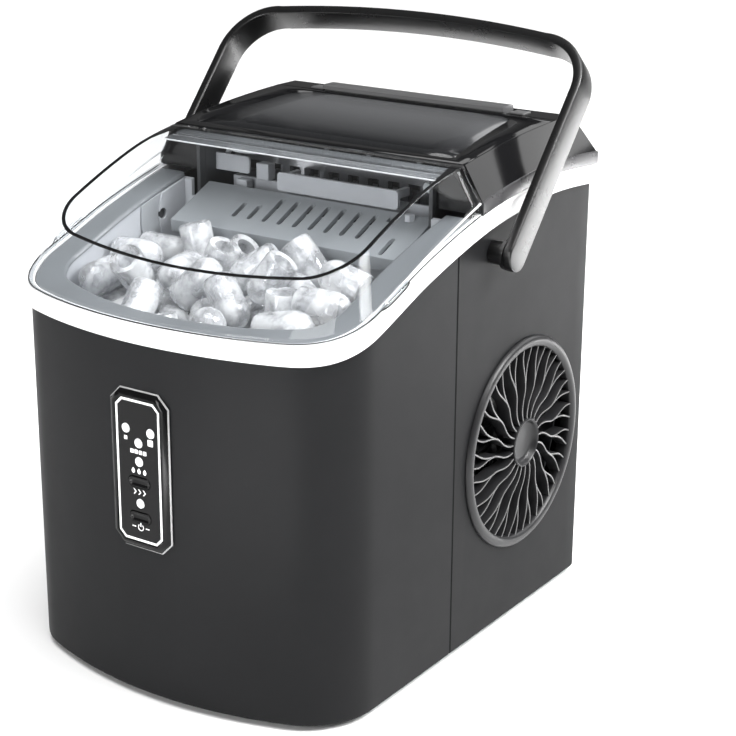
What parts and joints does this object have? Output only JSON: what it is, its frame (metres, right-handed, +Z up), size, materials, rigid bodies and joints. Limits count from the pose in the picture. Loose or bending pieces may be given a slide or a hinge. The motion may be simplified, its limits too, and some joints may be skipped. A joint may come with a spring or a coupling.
{
  "type": "ice maker",
  "caption": "Countertop bullet-ice maker: charcoal cabinet, white trim band, clear and smoked hinged lid, carrying bail, round side fan grille and front control panel.",
  "frame": {"origin": "on the floor under the middle of the object's bounding box, handle raised as in use", "axes": "the control panel faces -Y, +X is to the right of a person who stands in front of the panel and looks at it, +Z is up"},
  "size_m": [0.2548, 0.291, 0.3479],
  "materials": {
    "charcoal_paint": "satin charcoal paint",
    "white_plastic": "smooth white moulding",
    "grey_plastic": "light grey food-grade moulding",
    "black_gloss": "polished black moulding",
    "black_satin": "satin black moulding",
    "dark_plastic": "dark grey moulding",
    "clear_plastic": "clear polished plastic",
    "smoked_plastic": "smoke-tinted polished plastic",
    "rubber": "matt rubber",
    "steel": "bright steel",
    "copper": "drawn copper",
    "aluminium": "mill-finish fins",
    "compressor_paint": "black enamel",
    "circuit_board": "green laminate",
    "lamp_white": "milky lamp lens",
    "clear_hose": "translucent silicone hose"
  },
  "bodies": {
    "cabinet": {"front_shell": "charcoal_paint", "rear_shell": "charcoal_paint", "trim_band": "white_plastic", "top_bezel": "grey_plastic", "base_pan": "dark_plastic", "foot_front_left": "rubber", "foot_front_right": "rubber", "foot_rear_left": "rubber", "foot_rear_right": "rubber", "rear_housing": "black_gloss", "hinge_pin": "steel", "handle_stud_left": "black_satin", "handle_stud_right": "black_satin", "side_grille": "black_satin", "control_bezel": "black_gloss", "control_face": "black_gloss", "size_small_led": "lamp_white", "size_large_led": "lamp_white", "ice_full_led": "lamp_white", "add_water_led": "lamp_white", "power_led": "lamp_white", "control_board": "circuit_board", "ice_bin_liner": "grey_plastic", "ice_full_sensor": "dark_plastic", "evaporator_bay": "grey_plastic", "bay_back_panel": "dark_plastic", "slide_grid": "grey_plastic", "evaporator": "steel", "tray_motor": "dark_plastic", "compressor": "compressor_paint", "compressor_mount_1": "rubber", "compressor_mount_2": "rubber", "compressor_mount_3": "rubber", "condenser": "aluminium", "fan_shroud": "dark_plastic", "fan_motor": "dark_plastic", "discharge_tube": "copper", "liquid_tube": "copper", "filter_drier": "copper", "capillary_tube": "copper", "suction_tube": "copper", "hot_gas_valve": "steel", "water_pump": "dark_plastic", "water_hose": "clear_hose", "drain_hose": "rubber", "power_inlet": "black_satin", "power_board": "circuit_board"},
    "lid": {"lid_shell": "clear_plastic", "lid_frame": "black_gloss", "lid_window": "smoked_plastic", "hinge_bar": "black_gloss"},
    "carry_handle": {"handle": "black_satin"},
    "fan_rotor": {"fan": "black_satin"},
    "tray": {"water_tray": "grey_plastic"},
    "shovel": {"ice_shovel": "grey_plastic"},
    "impeller": {"pump_impeller": "white_plastic"},
    "basket": {"ice_basket": "grey_plastic"},
    "select_key": {"select_button": "black_gloss"},
    "power_key": {"power_button": "black_gloss"},
    "drain": {"drain_cap": "rubber"}
  },
  "joints": [
    {"name": "lid_hinge", "type": "hinge", "parent": "cabinet", "child": "lid", "pos_m": [0, 0.119, 0.29], "axis": [-1, 0, 0], "range_deg": [0, 70]},
    {"name": "handle_hinge", "type": "hinge", "parent": "cabinet", "child": "carry_handle", "pos_m": [0, 0.0268, 0.2348], "axis": [-1, 0, 0], "range_deg": [-116, 66]},
    {"name": "fan_spin", "type": "hinge", "parent": "cabinet", "child": "fan_rotor", "pos_m": [0.095, 0.0667, 0.1109], "axis": [1, 0, 0], "continuous": true},
    {"name": "tray_tilt", "type": "hinge", "parent": "cabinet", "child": "tray", "pos_m": [0, 0.054, 0.25], "axis": [1, 0, 0], "range_deg": [0, 40]},
    {"name": "shovel_slide", "type": "slide", "parent": "cabinet", "child": "shovel", "axis": [0, -1, 0], "range_m": [0, 0.022]},
    {"name": "impeller_spin", "type": "hinge", "parent": "cabinet", "child": "impeller", "pos_m": [0.06, -0.03, 0.02], "axis": [0, 0, 1], "continuous": true},
    {"name": "basket_lift", "type": "slide", "parent": "cabinet", "child": "basket", "axis": [0, 0, 1], "range_m": [0, 0.012]},
    {"name": "select_press", "type": "slide", "parent": "cabinet", "child": "select_key", "axis": [0, 1, 0], "range_m": [0, 0.001], "stiffness_N_per_m": 600},
    {"name": "power_press", "type": "slide", "parent": "cabinet", "child": "power_key", "axis": [0, 1, 0], "range_m": [0, 0.001], "stiffness_N_per_m": 600},
    {"name": "drain_turn", "type": "hinge", "parent": "cabinet", "child": "drain", "pos_m": [0.074, 0.1434, 0.024], "axis": [0, 1, 0], "range_deg": [0, 90]}
  ],
  "couplings": [
    {"joint": "shovel_slide", "follows": "tray_tilt", "m_per_rad": 0.0315}
  ]
}
